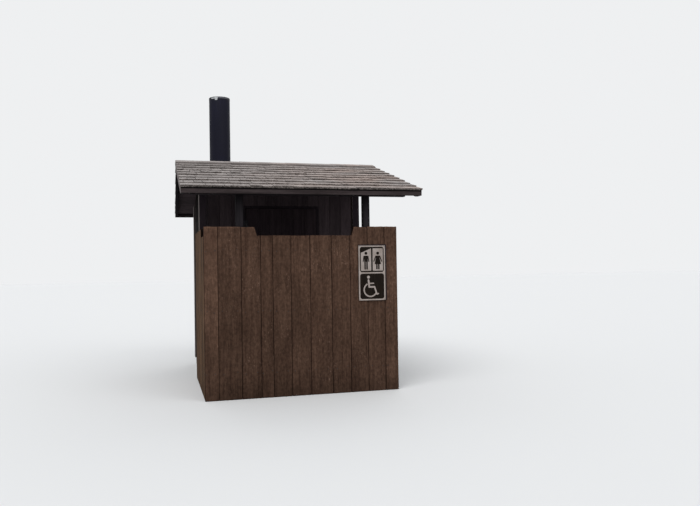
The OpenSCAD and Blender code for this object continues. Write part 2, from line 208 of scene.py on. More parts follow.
def section(stops, width, crests):
    """The corners round a board, as (across, level, crest)."""
    face = [(a, FACE, crest) for a, crest in zip(stops, crests)]
    back = [(a, BACK, 0) for a in reversed(stops)]
    return face + [(width, UPPER, 0), (width, LOWER, 0)] + back + [(0, LOWER, 0), (0, UPPER, 0)]


def level_heights(depth, chamfer, inset):
    """Height of each level over a board's back; the inset makes its ends thinner."""
    return {FACE: depth - inset, UPPER: max(depth - chamfer, 0.6 * depth) - inset,
            LOWER: min(chamfer, 0.4 * depth) + inset, BACK: inset}


def station(j, cut, start, end):
    """How far along a board its j-th section is. Those next to the ends bound the chamfers."""
    if j == 1:
        return start + cut.chamfer
    if j == cut.stations - 1:
        return end - cut.chamfer
    return start + j / cut.stations * (end - start)


def end_faces(first, stops, turned):
    """The faces that close a board's end: one strip across, and one at each edge."""
    back = [2 * stops + 1 - i for i in range(stops)]
    strips = [[i, i + 1, back[i + 1], back[i]] for i in range(stops - 1)]
    strips.append([stops - 1, stops, stops + 1, stops + 2])
    strips.append([0, 2 * stops + 1, 2 * stops + 2, 2 * stops + 3])
    return [[first + i for i in (strip if turned else reversed(strip))] for strip in strips]


def plank(pile, place, width, thick, ends, rng, cut, tone=None, breaks=(), taper=None, base=None):
    """Adds one rough board to a pile.

    ends(a) gives the board's two ends at the distance a across it, and breaks are the distances
    where they turn. taper(s) and base(s) scale its thickness and lift it, at the share s of its
    length."""
    tone = rng.random() if tone is None else tone
    stops = face_stops(width, cut.chamfer, breaks)
    loop = section(stops, width, [cut.ridges * rng.uniform(-1, 1) for _ in stops])
    tears = {a: rng.uniform(0, cut.torn) for a in stops + [0, width]}
    left, right = (wander(rng, cut.stations + 1, cut.uneven) for _ in range(2))
    shift = [rng.uniform(0, GRAIN_REACH) for _ in range(3)]
    corners, grains = [], []
    for j in range(cut.stations + 1):
        s = j / cut.stations
        inset = cut.chamfer if j in (0, cut.stations) else 0.0
        heights = level_heights(thick * (taper(s) if taper else 1.0), cut.chamfer, inset)
        lift = base(s) if base else 0.0
        for a, level, crest in loop:
            low_end, high_end = ends(a)
            along = station(j, cut, low_end + tears[a] / 2, high_end - tears[a])
            share = a / width
            across = a + (left[j] + inset) * (1 - share) - (right[j] + inset) * share
            out = heights[level]
            if level == FACE:
                out += crest + rng.uniform(-cut.rough, cut.rough)
            corners.append(place @ Vector((across, along, out + lift)))
            grains.append((shift[0] + across, shift[1] + out, shift[2] + along))
    faces = skin(cut.stations + 1, len(loop)) + end_faces(0, len(stops), False)
    faces += end_faces(cut.stations * len(loop), len(stops), True)
    pile.add(corners, faces, tone, grains)


def lathe(pile, profile, centre, sides=96):
    """Turns a closed profile of (radius, height) points about the upright axis at centre."""
    turns = (-2 * math.pi * i / sides for i in range(sides))
    pile.loft([[centre + Vector((r * math.cos(a), r * math.sin(a), h)) for r, h in profile]
               for a in turns], closed=True)


def arc(cx, cy, radius, start, end, steps=6):
    """Points on an arc, with angles in degrees."""
    turns = [math.radians(start + (end - start) * i / steps) for i in range(steps + 1)]
    return [(cx + radius * math.cos(a), cy + radius * math.sin(a)) for a in turns]


def disc(cx, cy, radius, sides=24):
    return arc(cx, cy, radius, 0, 360 - 360 / sides, sides - 1)


def circle(centre, axis, radius, sides):
    """Points on a circle about an axis."""
    side = axis.cross(Z if abs(axis.z) < 0.9 else X).normalized()
    up = axis.cross(side)
    turns = (2 * math.pi * i / sides for i in range(sides))
    return [centre + radius * (math.cos(a) * side + math.sin(a) * up) for a in turns]


def rod(pile, start, end, radius, sides=6):
    """A straight wire."""
    axis = (end - start).normalized()
    pile.loft([circle(point, axis, radius, sides) for point in (start, end)])


def stud(pile, centre, out, radius, height, sides=10, tone=0.5):
    """The low domed head of a nail or a bolt, on a face whose normal is out."""
    dome = [(1.0, -0.5), (1.0, 0.35), (0.8, 0.8), (0.35, 1.0)]
    pile.loft([circle(centre + height * lift * out, out, radius * share, sides)
               for share, lift in dome], tone)


def slab(pile, outline, place, low, high):
    """An outline of (across, along) points, as a flat plate between two heights."""
    pile.loft([[place @ Vector((a, b, h)) for a, b in outline] for h in (low, high)])


# Materials

def colour(red, green, blue):
    """A colour of 0 to 255 values, as a linear RGBA tuple."""
    def linear(c):
        c /= 255
        return c / 12.92 if c <= 0.04045 else ((c + 0.055) / 1.055) ** 2.4
    return (linear(red), linear(green), linear(blue), 1.0)


def shade(tint, factor, lift=0.0):
    """A colour made darker or lighter."""
    return tuple(min(1.0, factor * c + lift) for c in tint[:3]) + (1,)


class Graph:
    """The nodes of a new material or world, with short calls for the kinds used here."""

    def __init__(self, owner):
        self.owner = owner
        owner.use_nodes = True
        self.tree = owner.node_tree

    def feed(self, socket, value):
        """Links another node's output to a socket, or sets the socket itself."""
        if isinstance(value, bpy.types.NodeSocket):
            self.tree.links.new(value, socket)
        else:
            socket.default_value = value

    def node(self, kind, inputs, **settings):
        made = self.tree.nodes.new("ShaderNode" + kind)
        for key, value in settings.items():
            setattr(made, key, value)
        for key, value in inputs.items():
            self.feed(made.inputs[key], value)
        return made

    def math(self, operation, a, b=0.0):
        return self.node("Math", {0: a, 1: b}, operation=operation).outputs[0]

    def plus(self, a, b):
        return self.math("ADD", a, b)

    def times(self, a, b):
        return self.math("MULTIPLY", a, b)

    def scaled(self, where, scales):
        return self.node("VectorMath", {0: where, 1: scales}, operation="MULTIPLY").outputs[0]

    def noise(self, where, scale, detail=3.0, rough=0.55, bend=0.0):
        inputs = {"Vector": where, "Scale": scale, "Detail": detail}
        inputs |= {"Roughness": rough, "Distortion": bend}
        return self.node("TexNoise", inputs).outputs["Fac"]

    def streaks(self, where, squeeze, scale, detail=3.0, rough=0.55, bend=0.0):
        """Noise drawn out along z: squeeze is its scale there as a share of its scale across."""
        return self.noise(self.scaled(where, (1.0, 1.0, squeeze)), scale, detail, rough, bend)

    def spread(self, value, low, high, to_low=0.0, to_high=1.0):
        """Takes a value's range from low to high smoothly to another range."""
        inputs = {"Value": value, "From Min": low, "From Max": high}
        inputs |= {"To Min": to_low, "To Max": to_high}
        return self.node("MapRange", inputs, interpolation_type="SMOOTHSTEP").outputs[0]

    def mix(self, share, a, b):
        """Blends colour a to colour b; a Mix node's inputs 0, 6 and 7 are its share and colours."""
        return self.node("Mix", {0: share, 6: a, 7: b}, data_type="RGBA").outputs[2]

    def brighten(self, tint, value):
        return self.node("HueSaturation", {"Color": tint, "Value": value}).outputs[0]

    def place(self):
        return self.node("TexCoord", {}).outputs["Object"]

    def coordinate(self, axis):
        return self.node("SeparateXYZ", {0: self.place()}).outputs[axis]

    def facing(self, axis):
        """How far the surface faces along an axis, from -1 to 1."""
        normal = self.node("NewGeometry", {}).outputs["True Normal"]
        return self.node("SeparateXYZ", {0: normal}).outputs[axis]

    def finish(self, tint, roughness, relief=None, depth=0.0, metallic=0.0, specular=0.5):
        """Sets the material's shader, with bumps of a depth in metres, and returns the material."""
        inputs = self.tree.nodes["Principled BSDF"].inputs
        self.feed(inputs["Base Color"], tint)
        self.feed(inputs["Roughness"], roughness)
        inputs["Metallic"].default_value = metallic
        inputs["Specular IOR Level"].default_value = specular
        if relief:
            bump = self.node("Bump", {"Height": relief, "Distance": depth})
            self.feed(inputs["Normal"], bump.outputs[0])
        return self.owner


def new_material(name):
    return Graph(bpy.data.materials.new(name))


def board_space(g):
    """Grain position and tone as the boards carry them: z runs along the grain."""
    where = g.node("Attribute", {}, attribute_name="grain").outputs["Vector"]
    tone = g.node("Attribute", {}, attribute_name="tone").outputs["Fac"]
    return where, tone


def solid_space(g, axis):
    """The same for a CAD node with its grain along the axis, and a shift and tone of its own."""
    order = {"X": "YZX", "Y": "XZY", "Z": "XYZ"}[axis]
    tone = g.node("ObjectInfo", {}).outputs["Random"]
    parts = g.node("SeparateXYZ", {0: g.place()}).outputs
    first = g.plus(parts[order[0]], g.times(tone, 9.0))
    inputs = {0: first, 1: parts[order[1]], 2: parts[order[2]]}
    return g.node("CombineXYZ", inputs).outputs[0], tone


def wood(name, dark, light, axis=None, contrast=1.0, knots=0.8, flecks=0.0, pale=None,
         pale_axis="X", pale_side=0, pale_behind=None, specular=0.05, **lightness):
    """Weathered sawn wood. dark and light are the ends of its figure.

    axis is the grain's on a CAD node; boards carry their own. knots is how strong the knots are,
    and flecks how strong the bare fibre is. Faces that look along pale_axis take the colour pale,
    to pale_side or to both sides where that is 0, and the others in part where their y is over
    pale_behind: painted light on some woods and painted shade on others, with weathering as well
    on the rakes. lightness is what wood_level takes."""
    g = new_material(name)
    dark, light = colour(*dark), colour(*light)
    where, tone = solid_space(g, axis) if axis else board_space(g)
    fibre = g.streaks(where, 0.05, 300.0, 5.0, 0.65)
    streak = g.streaks(where, 0.03, 55.0, 3.0, 0.6)
    figure = g.streaks(where, 0.12, 16.0, 4.0, 0.6, 0.8)
    blend = g.plus(g.plus(g.times(fibre, 0.42), g.times(streak, 0.26)), g.times(figure, 0.32))
    half = 0.16 / contrast
    tint = g.mix(g.spread(blend, 0.5 - half, 0.5 + half), dark, light)
    if flecks:
        tint = g.mix(g.times(bare_fibre(g, where), flecks), tint, shade(light, 2.1, 0.03))
    knot = knot_shape(g, where)
    tint = g.mix(g.times(knot, knots), tint, shade(dark, 0.4))
    if pale:
        pale = colour(*pale)
        grey = g.mix(g.spread(blend, 0.4, 0.6), shade(pale, 0.7), pale)
        tint = g.mix(weathering_and_light_share(g, pale_axis, pale_side, pale_behind), tint, grey)
    tint = g.brighten(tint, wood_level(g, where, tone, **lightness))
    relief = g.plus(g.times(fibre, 0.55), g.times(streak, 0.45))
    relief = g.math("SUBTRACT", relief, g.times(knot, 0.4))
    rough = g.spread(fibre, 0.2, 0.8, 0.78, 0.95)
    return g.finish(tint, rough, relief, 0.0012, specular=specular)


def bare_fibre(g, where):
    """The share of fibre where the stain has worn off, in patches."""
    worn = g.streaks(where, 0.3, 95.0, 4.0, 0.7)
    place = g.noise(where, 2.4, 2.0)
    return g.times(g.spread(worn, 0.56, 0.72), g.spread(place, 0.42, 0.66))


def knot_shape(g, where):
    """1 in the middle of the few cells that have a knot, and 0 elsewhere."""
    cells = g.node("TexVoronoi", {"Vector": g.scaled(where, (1, 1, 0.42)), "Scale": 3.6}).outputs
    chosen = g.node("SeparateColor", {0: cells["Color"]}).outputs[0]
    near = g.spread(cells["Distance"], 0.03, 0.075, 1.0, 0.0)
    return g.times(near, g.spread(chosen, 0.62, 0.67))


# The share of a face that takes pale by the way it faces: painted light or painted shade, and on the
# rakes weathering too.
def weathering_and_light_share(g, axis, side, behind):
    look = g.facing(axis)
    look = g.times(look, side) if side else g.math("ABSOLUTE", look)
    share = g.spread(look, 0.5, 0.8)
    if behind is None:
        return share
    return g.math("MAXIMUM", share, g.spread(g.coordinate("Y"), behind, behind + 0.2, 0.0, 0.15))


def wood_level(g, where, tone, tone_range=(0.84, 1.16), mottle=0.0, grime=0.25, band=None,
               low_shade=0.0):
    """How light the wood is, as a share of its colour.

    tone_range is for the darkest and the lightest board, mottle the depth of soft blots and grime
    how much darker the foot is. band gives two heights and the share of its light that the wood
    has above them; on the posts, the left wall and the fascia it is painted shade under the roof.
    low_shade is how much darker its lower half is: painted shade with splashed dirt."""
    patch = g.streaks(where, 0.45, 3.2)
    level = g.times(g.spread(tone, 0.0, 1.0, *tone_range), g.spread(patch, 0.3, 0.7, 0.88, 1.12))
    if mottle:
        blot = g.streaks(where, 0.7, 42.0, 3.0, 0.65)
        level = g.times(level, g.spread(blot, 0.32, 0.68, 1 - mottle, 1 + mottle))
    height = g.coordinate("Z")
    level = g.times(level, g.spread(height, 0.0, 0.32, 1.0 - grime, 1.0))
    if band:
        level = g.times(level, g.spread(height, band[0], band[1], 1.0, band[2]))
    if low_shade:
        level = g.times(level, g.spread(height, 0.5, 1.7, 1 - low_shade, 1 + low_shade / 2))
    return level


def shake_wood(name):
    """Split cedar gone grey, with dark cut ends and edges: dark end grain with painted shade."""
    g = new_material(name)
    where, tone = board_space(g)
    fibre = g.streaks(where, 0.03, 240.0, 5.0, 0.7)
    split = g.streaks(where, 0.02, 60.0, 2.0, 0.5)
    face = shake_face(g, where, tone, fibre, split)
    # Faces that don't look up take the cut colour, which is partly painted shade.
    tint = g.mix(g.spread(g.facing("Z"), 0.45, 0.8), shake_end(g, where, tone, face), face)
    relief = g.math("SUBTRACT", g.times(fibre, 0.6), g.spread(split, 0.6, 0.75))
    rough = g.spread(fibre, 0.2, 0.8, 0.8, 0.96)
    return g.finish(tint, rough, relief, 0.0018, specular=0.1)


def shake_face(g, where, tone, fibre, split):
    """The colour of a shake's upper face. It is warmer and a little lighter to the right."""
    tint = g.mix(g.spread(fibre, 0.32, 0.62), colour(126, 119, 116), colour(155, 149, 146))
    tint = g.mix(g.spread(split, 0.64, 0.74, 0.0, 0.6), tint, colour(70, 63, 61))
    across = g.coordinate("X")
    hue = g.noise(g.scaled(g.place(), (0.8, 1.4, 1.0)), 1.6, 2.0)
    warmth = g.times(g.spread(hue, 0.3, 0.65), g.spread(across, -0.9, 0.9, 0.05, 0.6))
    tint = g.mix(warmth, tint, colour(158, 138, 128))
    patch = g.streaks(where, 0.5, 9.0, 4.0)
    level = g.times(g.spread(tone, 0.0, 1.0, 0.88, 1.08), g.spread(patch, 0.3, 0.7, 0.86, 1.1))
    return g.brighten(tint, g.times(level, g.spread(across, -1.2, 1.2, 0.91, 1.02)))


def shake_end(g, where, tone, face):
    """The colour of a shake's cut faces: dark mottled end grain and painted shade, bleached in places
    and near the ridge.
    """
    mottle = g.noise(where, 70.0, 3.0, 0.6)
    cut = g.mix(g.spread(mottle, 0.38, 0.66), colour(68, 61, 58), colour(142, 133, 128))
    chance = g.node("TexWhiteNoise", {"W": tone}, noise_dimensions="1D").outputs["Value"]
    cut = g.brighten(cut, g.spread(chance, 0.1, 0.9, 0.58, 1.22))
    height = g.coordinate("Z")
    bleach = g.noise(g.scaled(g.place(), (1.0, 2.4, 1.0)), 1.5, 2.0)
    above_eave = g.spread(height, EAVE_Z + 0.035, EAVE_Z + 0.05)
    bleached = g.times(g.spread(bleach, 0.5, 0.62, 0.0, 0.75), above_eave)
    near_ridge = g.spread(height, RIDGE_Z - 0.16, RIDGE_Z - 0.01, 0.1, 0.85)
    return g.mix(g.math("MAXIMUM", bleached, near_ridge), cut, g.brighten(face, 0.85))


def concrete(name):
    g = new_material(name)
    here = g.place()
    cloud = g.noise(here, 2.2, 5.0)
    grit = g.noise(here, 220.0, 3.0, 0.7)
    pores = g.node("TexVoronoi", {"Vector": here, "Scale": 90.0}).outputs["Distance"]
    tint = g.mix(g.spread(cloud, 0.3, 0.7), colour(112, 107, 99), colour(150, 145, 136))
    tint = g.mix(g.spread(grit, 0.35, 0.75, 0.0, 0.35), tint, colour(92, 88, 82))
    relief = g.plus(g.times(grit, 0.5), g.spread(pores, 0.05, 0.2))
    rough = g.spread(cloud, 0.3, 0.7, 0.82, 0.95)
    return g.finish(tint, rough, relief, 0.0008, specular=0.3)


def metal(name, base, dust, roughness, metallic, dust_share=0.35, specular=0.5):
    """Painted or bare metal with dust, fine scratches and a cloudy gloss."""
    g = new_material(name)
    here = g.place()
    cloud = g.streaks(here, 0.35, 7.0, 4.0)
    run = g.streaks(here, 0.03, 34.0)
    speck = g.noise(here, 420.0, 2.0)
    share = g.times(g.spread(cloud, 0.42, 0.72), g.spread(run, 0.35, 0.7, 0.3, 1.0))
    tint = g.mix(g.times(share, dust_share), colour(*base), colour(*dust))
    rough = g.spread(cloud, 0.3, 0.7, roughness - 0.08, roughness + 0.1)
    relief = g.plus(g.times(speck, 0.5), cloud)
    return g.finish(tint, rough, relief, 0.0003, metallic, specular)


def sign_paint(name, base, worn, dirt_share):
    """Flat sheet paint, faded in clouds, with fine scratches and dirt that has run down."""
    g = new_material(name)
    here = g.place()
    cloud = g.noise(here, 9.0, 4.0)
    run = g.streaks(here, 0.06, 60.0, 4.0, 0.7)
    scratch = g.noise(g.scaled(here, (0.25, 1.0, 1.0)), 260.0)
    tint = g.mix(g.spread(cloud, 0.35, 0.7, 0.0, 0.6), colour(*base), colour(*worn))
    tint = g.mix(g.spread(run, 0.5, 0.75, 0.0, dirt_share), tint, colour(92, 78, 64))
    rough = g.spread(cloud, 0.3, 0.7, 0.5, 0.7)
    return g.finish(tint, rough, scratch, 0.0002, specular=0.08)


# Weathered grey with a painted sky sheen, for the rakes' outer faces.
WEATHERED_AND_SHEEN = (128, 120, 118)
# pale is dark here: painted shadow, with damp end grain, on the boards' left ends and joint edges.
# low_shade is painted shade with splashed dirt.
SCREEN_WOOD = wood("screen_wood", (53, 37, 29), (87, 66, 54), flecks=0.7, mottle=0.22,
                   tone_range=(0.8, 1.25), contrast=0.95, pale=(30, 18, 12), pale_side=-1,
                   band=(1.8, 1.818, 1.3), low_shade=0.14)
# pale is dark here: painted shadow, with damp end grain, on the boards' front-facing ends and edges.
RETURN_WOOD = wood("return_wood", (60, 42, 29), (107, 81, 59), flecks=0.6, mottle=0.16,
                   tone_range=(0.78, 1.22), pale=(20, 10, 6), pale_axis="Y", pale_side=-1)
SIDE_WOOD = wood("side_wood", (40, 34, 33), (72, 62, 60), knots=0.5)
# Left wall: the low tones from left_wall_tone and the band are painted shade under the roof; pale on
# the boards' front-facing edges is painted light over a shaded corner gap.
LEFT_WOOD = wood("left_wood", (58, 50, 47), (86, 76, 71), knots=0.4,
                 tone_range=(0.18, 1.0), pale=(140, 128, 134), pale_axis="Y", pale_side=-1,
                 band=(1.6, 2.1, 0.45), specular=0.02)
# The front walls' dark colours are painted shade under the porch roof.
SHADE_WOOD = wood("shade_wood", (52, 44, 47), (76, 66, 68), knots=0.3, grime=0.1)
DECK_WOOD = wood("deck_wood", (50, 43, 45), (78, 68, 70), contrast=0.7)
# The door's dark colours are painted shade under the porch roof.
DOOR_WOOD = wood("door_wood", (40, 32, 35), (63, 53, 56), "Z", knots=0.2)
# The band darkens the posts towards their tops under the roof: painted shade.
POST_WOOD = wood("post_wood", (30, 28, 30), (52, 48, 51), "Z", grime=0.15, band=(1.95, 2.16, 0.5))
# The corner boards' dark colour is painted shade on their front faces; pale on their side faces, and
# in part on the rear corner boards, is painted light.
TRIM_UPRIGHT = wood("trim_upright", (32, 27, 31), (50, 43, 47), "Z",
                    pale=(150, 141, 136), pale_behind=0.5)
FRAME_UPRIGHT = wood("frame_upright", (29, 24, 27), (45, 39, 43), "Z")
FRAME_LEVEL = wood("frame_level", (24, 21, 23), (44, 38, 40), "X")
FRAME_DEEP = wood("frame_deep", (24, 21, 23), (44, 38, 40), "Y")
# On the rakes, pale is weathered grey with a painted sky sheen on the outer face, and the dark base
# is painted shade on the other faces.
RAKE_LEFT = wood("rake_left", (24, 21, 24), (42, 38, 41), "Y", pale=WEATHERED_AND_SHEEN, pale_side=-1)
RAKE_RIGHT = wood("rake_right", (24, 21, 24), (42, 38, 41), "Y", pale=WEATHERED_AND_SHEEN, pale_side=1)
# The band darkens the fascia's top strip to a near-black line: painted shadow under the shakes'
# overhang.
FASCIA_WOOD = wood("fascia_wood", (42, 36, 36), (70, 62, 62), "X", knots=0.3,
                   band=(FASCIA_TOP.z - 0.030, FASCIA_TOP.z - 0.024, 0.12))
SHAKE_WOOD = shake_wood("shake_wood")
CONCRETE = concrete("concrete")
PIPE_BLACK = metal("pipe_black", (15, 15, 29), (37, 37, 55), 0.55, 0.0, specular=0.12)
DARK_METAL = metal("dark_metal", (34, 34, 38), (88, 78, 70), 0.5, 0.6, specular=0.3)
BAND_METAL = metal("band_metal", (30, 31, 38), (60, 60, 66), 0.5, 0.3, specular=0.2)
# A lighter grey for a painted sheen on the clamp band.
BAND_SHEEN_METAL = metal("band_sheen_metal", (84, 85, 92), (108, 106, 108), 0.5, 0.3, specular=0.3)
FLASHING = metal("flashing", (58, 60, 64), (116, 112, 106), 0.42, 0.7)
BRIGHT_METAL = metal("bright_metal", (178, 180, 182), (134, 128, 118), 0.4, 0.6)
NAIL_METAL = metal("nail_metal", (46, 40, 37), (104, 72, 52), 0.6, 0.5, 0.7)
SIGN_CREAM = sign_paint("sign_cream", (162, 152, 146), (134, 122, 114), 0.35)
SIGN_BROWN = sign_paint("sign_brown", (17, 11, 6), (27, 19, 12), 0.12)


# CAD nodes that keep their own shape

def dress(material, edge, *nodes):
    """Gives CAD nodes a material, and worn edges of a width in metres."""
    weld_reach, least_angle = 0.0001, math.radians(40)
    for node in nodes:
        obj = frame["nodes"][node]
        obj.data.materials.clear()
        obj.data.materials.append(material)
        weld = obj.modifiers.new("weld", "WELD")
        weld.merge_threshold = weld_reach
        bevel = obj.modifiers.new("worn_edges", "BEVEL")
        bevel.width = edge
        bevel.segments = 2
        bevel.limit_method = "ANGLE"
        bevel.angle_limit = least_angle
        flat = obj.modifiers.new("flat_faces", "WEIGHTED_NORMAL")
        flat.keep_sharp = True


def dress_nodes():
    dress(CONCRETE, 0.006, "floor_slab")
    dress(POST_WOOD, 0.004, "left_post", "right_post", "corner_post")
    dress(TRIM_UPRIGHT, 0.002, "corner_boards")
    dress(FRAME_UPRIGHT, 0.002, "door_frame", "sign_backing")
    dress(FASCIA_WOOD, 0.003, "fascia_front", "fascia_rear")
    dress(RAKE_LEFT, 0.003, "rake_front_left", "rake_rear_left")
    dress(RAKE_RIGHT, 0.003, "rake_front_right", "rake_rear_right")
    dress(FRAME_LEVEL, 0.003, "screen_rails", "ridge_board", "front_header")
    dress(FRAME_DEEP, 0.003, "return_rails", "rafters_front", "rafters_rear")
    dress(DOOR_WOOD, 0.0015, "door")
    dress(BRIGHT_METAL, 0.0015, "door_handle")
    dress(DARK_METAL, 0.0008, "door_hinges")
    dress(DARK_METAL, 0.001, "stack_straps")
    dress(FLASHING, 0.0008, "stack_flashing")
    dress(SIGN_CREAM, 0.001, "sign_board")


# Privacy screen

def ramp(value, start, end):
    """0 up to start and 1 from end, with a straight rise between them."""
    return min(1.0, max(0.0, (value - start) / (end - start)))


def rail_heights():
    """Middle heights of the rails that the screen's boards are nailed to."""
    low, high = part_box("screen_rails")
    return [low.z + RAIL_HEIGHT / 2, (low.z + high.z) / 2, high.z - RAIL_HEIGHT / 2]


def nails(pile, place, width, face, rng):
    """Two nail heads across a board at each rail."""
    out = (place.to_3x3() @ Z).normalized()
    for height in rail_heights():
        for share in (0.2, 0.8):
            a = width * share + rng.uniform(-0.012, 0.012)
            point = place @ Vector((a, height + rng.uniform(-0.015, 0.015), face))
            stud(pile, point, out, 0.0055, 0.0016, tone=rng.random())


def screen_steps():
    """Distances from the screen's left end where its top turns down to its middle and up again."""
    rise = HIGH_LEFT + LOW_WIDTH
    return [HIGH_LEFT - SLANTED_CUT, HIGH_LEFT, rise, rise + SLANTED_CUT]


def screen_board(boards, heads, x, width, at_end, rng):
    """One board of the privacy screen, whose left edge is at x. Those at its ends are the palest."""
    low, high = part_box("screen_front")
    place = placed(Vector((x, high.y, 0)), Z, -Y)
    thick = high.y - low.y - FACE_PLAY
    from_left = x - low.x
    fall, bottom, rise, top = screen_steps()
    trim = rng.uniform(0.0, 0.004)
    tilt = rng.uniform(-0.003, 0.003)
    tone = 0.95 if at_end else rng.uniform(0.25, 0.6)

    def ends(a):
        d = from_left + a
        drop = SCREEN_DROP * (ramp(d, fall, bottom) - ramp(d, rise, top))
        return 0.0, high.z - drop - trim - abs(tilt) - tilt * (2 * a / width - 1)

    breaks = [d - from_left for d in screen_steps()]
    plank(boards, place, width, thick, ends, rng, SCREEN_CUT, tone, breaks)
    nails(heads, place, width, thick, rng)


def privacy_screen():
    low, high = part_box("screen_front")
    rng = random.Random(11)
    boards, heads = Pile(), Pile()
    widths = SCREEN_BOARDS + [high.x - low.x - sum(SCREEN_BOARDS)]
    for n, width in enumerate(widths):
        at_end = n in (0, len(widths) - 1)
        screen_board(boards, heads, low.x + sum(widths[:n]), width, at_end, rng)
    boards.piece("screen_boards", SCREEN_WOOD, "screen_boards", "screen_front")
    heads.piece("screen_nails", NAIL_METAL, "hinge_metal")


def return_board(boards, heads, y, width, rng):
    """One board of the screen's return, whose rear edge is at y."""
    low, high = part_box("screen_return")
    place = placed(Vector((high.x, y, 0)), Z, -X)
    thick = high.x - low.x - FACE_PLAY
    trim = rng.uniform(0.0, 0.006)
    steps = (RETURN_LOW, RETURN_LOW + SLANTED_CUT)

    def ends(a):
        drop = SCREEN_DROP * (1 - ramp(y - a - low.y, *steps))
        return 0.0, high.z - drop - trim

    plank(boards, place, width, thick, ends, rng, RETURN_CUT, breaks=[y - low.y - d for d in steps])
    if y < low_corner("front_wall_left").y:
        nails(heads, place, width, thick, rng)


def return_screen():
    low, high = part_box("screen_return")
    rng = random.Random(12)
    boards, heads = Pile(), Pile()
    y = low.y
    for width in RETURN_BOARDS + [high.y - low.y - sum(RETURN_BOARDS)]:
        y += width
        return_board(boards, heads, y, width, rng)
    boards.piece("return_boards", RETURN_WOOD, "screen_boards", "screen_return")
    heads.piece("return_nails", NAIL_METAL, "hinge_metal")


# Walls

def board_wall(node, out, material, seed, tones=None):
    """A wall of upright boards in the place of a CAD node, its top cut to the roof's slope.

    tones(y) gives a board's tone where it isn't left to chance."""
    low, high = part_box(node)
    rng = random.Random(seed)
    pile = Pile()
    across = Z.cross(out)
    span, thick = abs((high - low).dot(across)), abs((high - low).dot(out))
    lean = across + out
    corner = Vector((low.x if lean.x > 0 else high.x, low.y if lean.y > 0 else high.y, 0))
    gable = abs(out.x) > 0.5
    ridge = high_corner("left_wall").z
    count = max(1, round(span / WALL_BOARD))
    width = span / count
    for i in range(count):
        start = corner + across * (i * width)

        def ends(a, start=start):
            depth = abs((start + across * a).y) if gable else max(abs(low.y), abs(high.y))
            return low.z, ridge - math.tan(SLOPE) * depth

        tone = tones((start + across * width / 2).y) if tones else None
        peak = [abs(start.y)] if gable else []
        plank(pile, placed(start, Z, out), width, thick, ends, rng, WALL_CUT, tone, peak)
    pile.piece(node.replace("wall", "boards"), material, "wall_boards", node)


def left_wall_tone(y):
    """The left wall's boards are darkest under the rear slope and palest at the rear corner, as
    painted shade and painted light.
    """
    return 0.5 if y < 0 else 0.9 * ramp(y, 0.97, 1.15)


def walls():
    board_wall("front_wall_left", -Y, SHADE_WOOD, 21)
    board_wall("front_wall_right", -Y, SHADE_WOOD, 22)
    board_wall("front_wall_over_door", -Y, SHADE_WOOD, 23)
    board_wall("left_wall", -X, LEFT_WOOD, 24, left_wall_tone)
    board_wall("right_wall", X, SIDE_WOOD, 25)
    board_wall("rear_wall", Y, SIDE_WOOD, 26)


# Roof

def roof_half(side, depth):
    """Half the width over the shakes, at a depth from the ridge; the rear slope narrows."""
    return ROOF_HALF - (DRAWN_IN * depth if side == REAR else 0.0)


def slope_axes(side):
    """Down-slope and outward directions of the roof's front or rear face."""
    down = Vector((0, side * math.cos(SLOPE), -math.sin(SLOPE)))
    up = Vector((0, side * math.sin(SLOPE), math.cos(SLOPE)))
    return down, up


def stack_axis():
    """The stack's x, y, radius and top."""
    low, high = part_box("vent_stack")
    return (low.x + high.x) / 2, (low.y + high.y) / 2, (high.x - low.x) / 2, high.z


def cut_for_stack(obj):
    """Cuts the round hole for the stack through a piece of the roof."""
    x, y, radius, top = stack_axis()
    below_roof = 1.0
    pile = Pile()
    slab(pile, disc(x, y, radius + STACK_HOLE_GAP, 72), Matrix.Identity(4), below_roof, top)
    mesh = bpy.data.meshes.new("cutter")
    mesh.from_pydata(pile.corners, [], pile.faces)
    cutter = new_object("cutter", mesh)
    cut = obj.modifiers.new("hole", "BOOLEAN")
    cut.operation = "DIFFERENCE"
    cut.object = cutter
    cut.solver = "EXACT"
    cut.use_self = True
    bpy.context.view_layer.update()
    graph = bpy.context.evaluated_depsgraph_get()
    obj.data = bpy.data.meshes.new_from_object(obj.evaluated_get(graph))
    obj.modifiers.clear()
    bpy.data.objects.remove(cutter)


def roof_deck(side, seed):
    """Roof boarding: planks along X, from the ridge down to the fascia."""
    node = "roof_deck_" + SIDE_NAME[side]
    down, up = slope_axes(side)
    low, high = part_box(node)
    edge = max(abs(low.y), abs(high.y)) / math.cos(SLOPE)
    drip = ROOF_HALF - high.x
    rng = random.Random(seed)
    pile = Pile()
    count = round(edge / DECK_BOARD)
    width = edge / count
    for i in range(count):
        def ends(a, i=i):
            half = roof_half(side, (i * width + a) * math.cos(SLOPE)) - drip
            return -half, half

        start = Vector((0, 0, RIDGE_Z)) - up * DECK_THICK + down * (i * width)
        plank(pile, placed(start, -side * X, up), width, DECK_THICK, ends, rng, DECK_CUT)
    return pile.piece("deck_boards_" + SIDE_NAME[side], DECK_WOOD, "framing", node)


